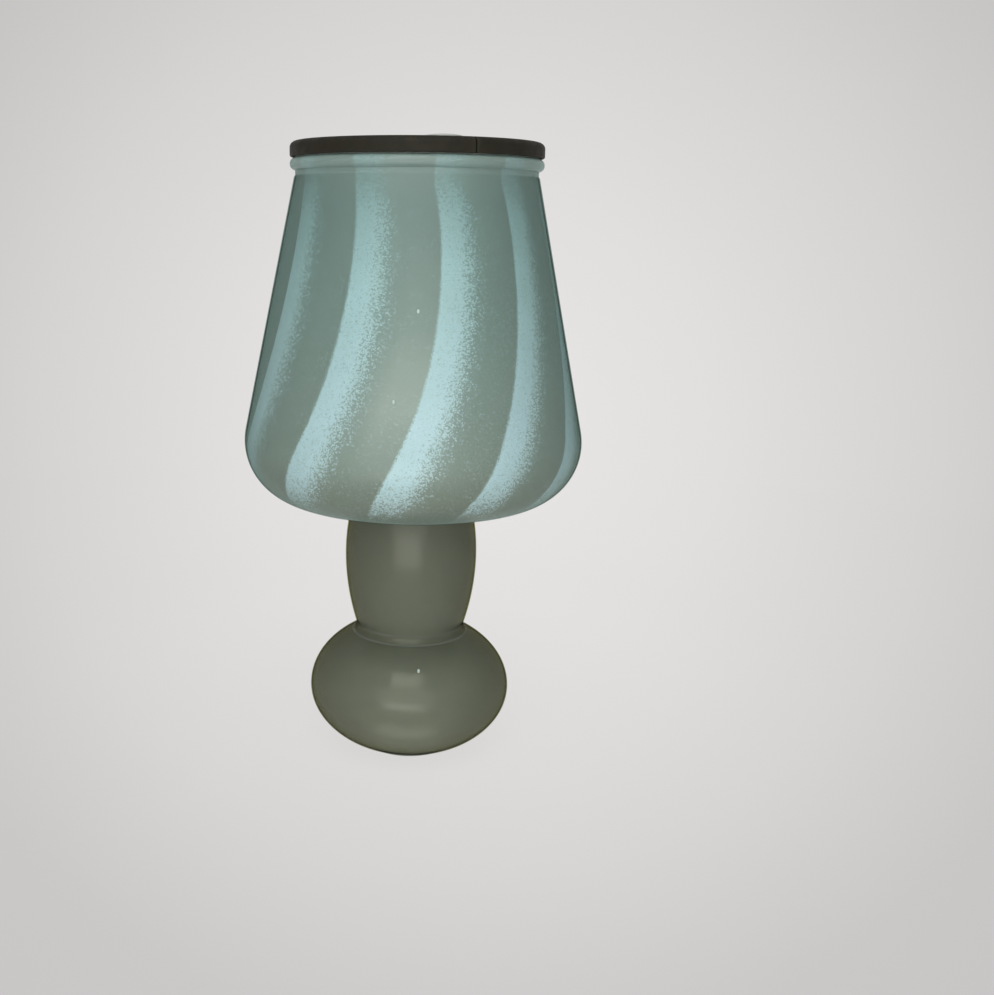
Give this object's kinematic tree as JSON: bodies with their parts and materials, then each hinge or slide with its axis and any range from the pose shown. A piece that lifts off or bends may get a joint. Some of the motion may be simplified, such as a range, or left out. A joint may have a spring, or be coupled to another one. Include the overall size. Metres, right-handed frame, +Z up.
{
  "type": "mushroom table lamp",
  "caption": "Cordless frosted-glass mushroom lamp: blown foot and stem, jar-shaped shade with swirled stripes, closed dark lid holding the battery light and push button.",
  "frame": {"origin": "middle of the underside of the foot pad, on the surface the lamp stands on", "axes": "+Z up along the lamp's axis, -Y towards the front that the picture shows, +X to the right"},
  "size_m": [0.1518, 0.1518, 0.2772],
  "materials": {
    "plain_glass": "satin frosted, olive sea-green",
    "striped_glass": "satin frosted sea-green with pale swirled stripes",
    "dark_shell": "fine matt, dark olive brown",
    "inner_plastic": "matt moulded",
    "soft_rubber": "matt translucent silicone",
    "zinc_steel": "zinc plated",
    "tinned_contact": "bright tinned spring steel",
    "board": "green solder mask",
    "black_component": "matt black",
    "lens": "milky diffusing",
    "led": "yellow phosphor",
    "button": "milky grey silicone",
    "cell_sleeve": "plain printed-free sleeve",
    "red_sleeve": "wire insulation",
    "black_sleeve": "wire insulation"
  },
  "bodies": {
    "lamp_glass": {"base_glass": "plain_glass", "foot_pad": "soft_rubber", "shade_glass": "striped_glass", "lower_gasket": "soft_rubber", "upper_gasket": "soft_rubber", "clamp_washer": "zinc_steel", "stem_bung": "soft_rubber", "pull_plate": "zinc_steel", "clamp_nut": "zinc_steel", "clamp_bolt": "zinc_steel"},
    "seal": {"rim_seal": "soft_rubber"},
    "lid": {"lid_cover": "dark_shell", "lid_band": "dark_shell", "lid_tray": "inner_plastic", "lid_screw_1": "zinc_steel", "lid_screw_2": "zinc_steel", "lid_screw_3": "zinc_steel", "lid_screw_4": "zinc_steel", "battery_1": "cell_sleeve", "battery_2": "cell_sleeve", "terminal_plus": "tinned_contact", "terminal_minus": "tinned_contact", "bridge_contact": "tinned_contact", "contact_spring_1": "tinned_contact", "contact_spring_2": "tinned_contact", "door_pin": "zinc_steel", "light_lens": "lens", "circuit_board": "board", "board_screw_1": "zinc_steel", "board_screw_2": "zinc_steel", "board_screw_3": "zinc_steel", "led_1": "led", "led_2": "led", "led_3": "led", "led_4": "led", "led_5": "led", "timer_chip": "black_component", "switch_body": "black_component", "lead_red": "red_sleeve", "lead_black": "black_sleeve"},
    "push_button": {"power_button": "button", "switch_plunger": "black_component"},
    "door": {"battery_door": "inner_plastic"}
  },
  "joints": [
    {"name": "lid_lift", "type": "slide", "parent": "lamp_glass", "child": "seal", "axis": [0, 0, 1], "range_m": [0, 0.06]},
    {"name": "lid_turn", "type": "hinge", "parent": "seal", "child": "lid", "pos_m": [0, 0, 0.27], "axis": [0, 0, 1], "continuous": true},
    {"name": "button_press", "type": "slide", "parent": "lid", "child": "push_button", "axis": [0, 0, -1], "range_m": [0, 0.001], "stiffness_N_per_m": 400},
    {"name": "door_swing", "type": "hinge", "parent": "lid", "child": "door", "pos_m": [0, 0.03537, 0.2486], "axis": [1, 0, 0], "range_deg": [0, 100]}
  ]
}
